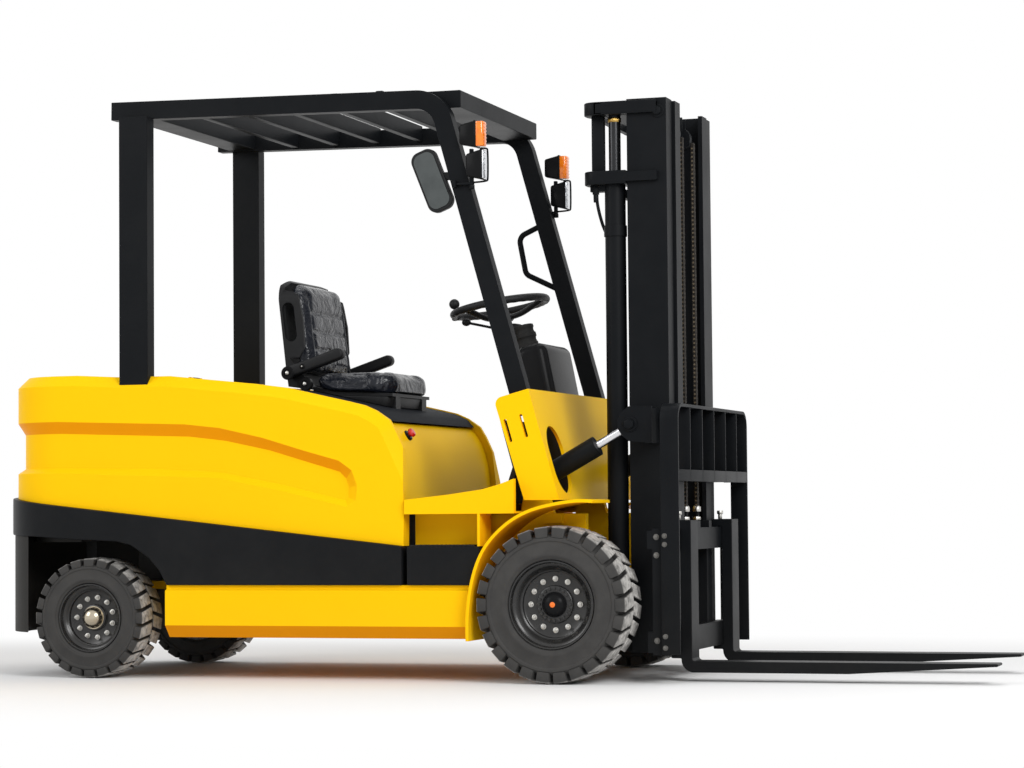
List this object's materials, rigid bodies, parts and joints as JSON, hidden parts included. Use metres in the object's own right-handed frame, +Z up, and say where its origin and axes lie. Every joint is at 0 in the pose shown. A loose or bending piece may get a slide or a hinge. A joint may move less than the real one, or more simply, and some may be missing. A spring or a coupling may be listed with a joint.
{
  "type": "electric forklift",
  "caption": "Four-wheel electric counterbalance forklift with a two-stage lift mast, forks, load backrest, overhead guard and seat on a hinged hood.",
  "frame": {"origin": "on the ground under the middle of the bounding box", "axes": "+X forward along the forks, +Y to the operator's left, +Z up"},
  "size_m": [3.78, 1.249, 2.168],
  "materials": {
    "frame": "gloss",
    "counterweight": "satin paint",
    "body_cover": "gloss",
    "body_band": "satin",
    "seat_box": "gloss",
    "floor": "ribbed mat",
    "fenders": "gloss",
    "cowl": "gloss",
    "dash": "grained",
    "guard_sides": "satin",
    "guard_roof": "satin",
    "lamps": "moulded",
    "lamp_lenses": "clear moulded",
    "mirror": "moulded",
    "grab_handle": "satin",
    "battery": "coated",
    "drive_axle": "paint",
    "steer_axle": "paint",
    "hood": "grained",
    "seat_frame": "grained",
    "seat_pads": "vinyl",
    "steering_wheel": "grained",
    "outer_mast": "satin",
    "lift_barrels": "satin",
    "inner_mast": "satin",
    "lift_rods": "ground",
    "chain_front": "oiled",
    "chain_rear": "oiled",
    "carriage": "satin",
    "backrest": "satin",
    "forks": "satin",
    "knuckle_left": "paint",
    "tilt_barrel_left": "satin",
    "tilt_rod_left": "ground",
    "tyre_front_left": "moulded",
    "rim_front_left": "satin",
    "tyre_rear_left": "moulded",
    "rim_rear_left": "satin",
    "knuckle_right": "paint",
    "tilt_barrel_right": "satin",
    "tilt_rod_right": "ground",
    "tyre_front_right": "moulded",
    "rim_front_right": "satin",
    "tyre_rear_right": "moulded",
    "rim_rear_right": "satin"
  },
  "bodies": {
    "truck": {"frame": "frame", "counterweight": "counterweight", "body_cover": "body_cover", "body_band": "body_band", "seat_box": "seat_box", "floor": "floor", "fenders": "fenders", "cowl": "cowl", "dash": "dash", "guard_sides": "guard_sides", "guard_roof": "guard_roof", "lamps": "lamps", "lamp_lenses": "lamp_lenses", "mirror": "mirror", "grab_handle": "grab_handle", "battery": "battery", "drive_axle": "drive_axle", "steer_axle": "steer_axle"},
    "hood_lid": {"hood": "hood", "seat_frame": "seat_frame", "seat_pads": "seat_pads"},
    "steering_wheel_body": {"steering_wheel": "steering_wheel"},
    "mast_outer": {"outer_mast": "outer_mast", "lift_barrels": "lift_barrels", "chain_rear": "chain_rear"},
    "mast_inner": {"inner_mast": "inner_mast", "lift_rods": "lift_rods", "chain_front": "chain_front"},
    "carriage_body": {"carriage": "carriage", "backrest": "backrest", "forks": "forks"},
    "wheel_front_left": {"tyre_front_left": "tyre_front_left", "rim_front_left": "rim_front_left"},
    "steer_left": {"knuckle_left": "knuckle_left"},
    "wheel_rear_left": {"tyre_rear_left": "tyre_rear_left", "rim_rear_left": "rim_rear_left"},
    "tilt_cylinder_left": {"tilt_barrel_left": "tilt_barrel_left"},
    "tilt_piston_left": {"tilt_rod_left": "tilt_rod_left"},
    "wheel_front_right": {"tyre_front_right": "tyre_front_right", "rim_front_right": "rim_front_right"},
    "steer_right": {"knuckle_right": "knuckle_right"},
    "wheel_rear_right": {"tyre_rear_right": "tyre_rear_right", "rim_rear_right": "rim_rear_right"},
    "tilt_cylinder_right": {"tilt_barrel_right": "tilt_barrel_right"},
    "tilt_piston_right": {"tilt_rod_right": "tilt_rod_right"}
  },
  "joints": [
    {"name": "wheel_front_left_spin", "type": "hinge", "parent": "truck", "child": "wheel_front_left", "pos_m": [0.36, 0.5115, 0.28], "axis": [0, 1, 0], "continuous": true},
    {"name": "wheel_front_right_spin", "type": "hinge", "parent": "truck", "child": "wheel_front_right", "pos_m": [0.36, -0.5115, 0.28], "axis": [0, 1, 0], "continuous": true},
    {"name": "steer_right", "type": "hinge", "parent": "truck", "child": "steer_right", "pos_m": [-1.464, -0.34, 0.225], "axis": [0, 0, 1], "range_deg": [-65, 65]},
    {"name": "wheel_rear_right_spin", "type": "hinge", "parent": "steer_right", "child": "wheel_rear_right", "pos_m": [-1.464, -0.4775, 0.225], "axis": [0, 1, 0], "continuous": true},
    {"name": "steer_left", "type": "hinge", "parent": "truck", "child": "steer_left", "pos_m": [-1.464, 0.34, 0.225], "axis": [0, 0, 1], "range_deg": [-65, 65]},
    {"name": "wheel_rear_left_spin", "type": "hinge", "parent": "steer_left", "child": "wheel_rear_left", "pos_m": [-1.464, 0.4775, 0.225], "axis": [0, 1, 0], "continuous": true},
    {"name": "steering_wheel_turn", "type": "hinge", "parent": "truck", "child": "steering_wheel_body", "pos_m": [-0.019, 0, 1.385], "axis": [-0.1736, 0, 0.9848], "continuous": true},
    {"name": "hood_open", "type": "hinge", "parent": "truck", "child": "hood_lid", "pos_m": [-1.147, 0, 1.118], "axis": [0, -1, 0], "range_deg": [0, 50]},
    {"name": "mast_tilt", "type": "hinge", "parent": "truck", "child": "mast_outer", "pos_m": [0.51, 0, 0.28], "axis": [0, 1, 0], "range_deg": [-10, 6]},
    {"name": "mast_lift", "type": "slide", "parent": "mast_outer", "child": "mast_inner", "axis": [0, 0, 1], "range_m": [0, 1.35]},
    {"name": "carriage_lift", "type": "slide", "parent": "mast_inner", "child": "carriage_body", "axis": [0, 0, 1], "range_m": [0, 1.35], "deforming": ["chain_front"]},
    {"name": "tilt_cylinder_left_swing", "type": "hinge", "parent": "truck", "child": "tilt_cylinder_left", "pos_m": [0.23, 0.41, 0.705], "axis": [0, 1, 0], "range_deg": [-11, 7]},
    {"name": "tilt_piston_left_stroke", "type": "slide", "parent": "tilt_cylinder_left", "child": "tilt_piston_left", "axis": [0.8738, 0, 0.4862], "range_m": [-0.092, 0.056]},
    {"name": "tilt_cylinder_right_swing", "type": "hinge", "parent": "truck", "child": "tilt_cylinder_right", "pos_m": [0.23, -0.41, 0.705], "axis": [0, 1, 0], "range_deg": [-11, 7]},
    {"name": "tilt_piston_right_stroke", "type": "slide", "parent": "tilt_cylinder_right", "child": "tilt_piston_right", "axis": [0.8738, 0, 0.4862], "range_m": [-0.092, 0.056]}
  ],
  "couplings": [
    {"joint": "steer_left", "follows": "steer_right", "ratio": 1},
    {"joint": "carriage_lift", "follows": "mast_lift", "ratio": 1},
    {"joint": "tilt_cylinder_left_swing", "follows": "mast_tilt", "ratio": 0.95},
    {"joint": "tilt_piston_left_stroke", "follows": "mast_tilt", "m_per_rad": 0.505},
    {"joint": "tilt_cylinder_right_swing", "follows": "mast_tilt", "ratio": 0.95},
    {"joint": "tilt_piston_right_stroke", "follows": "mast_tilt", "m_per_rad": 0.505}
  ]
}
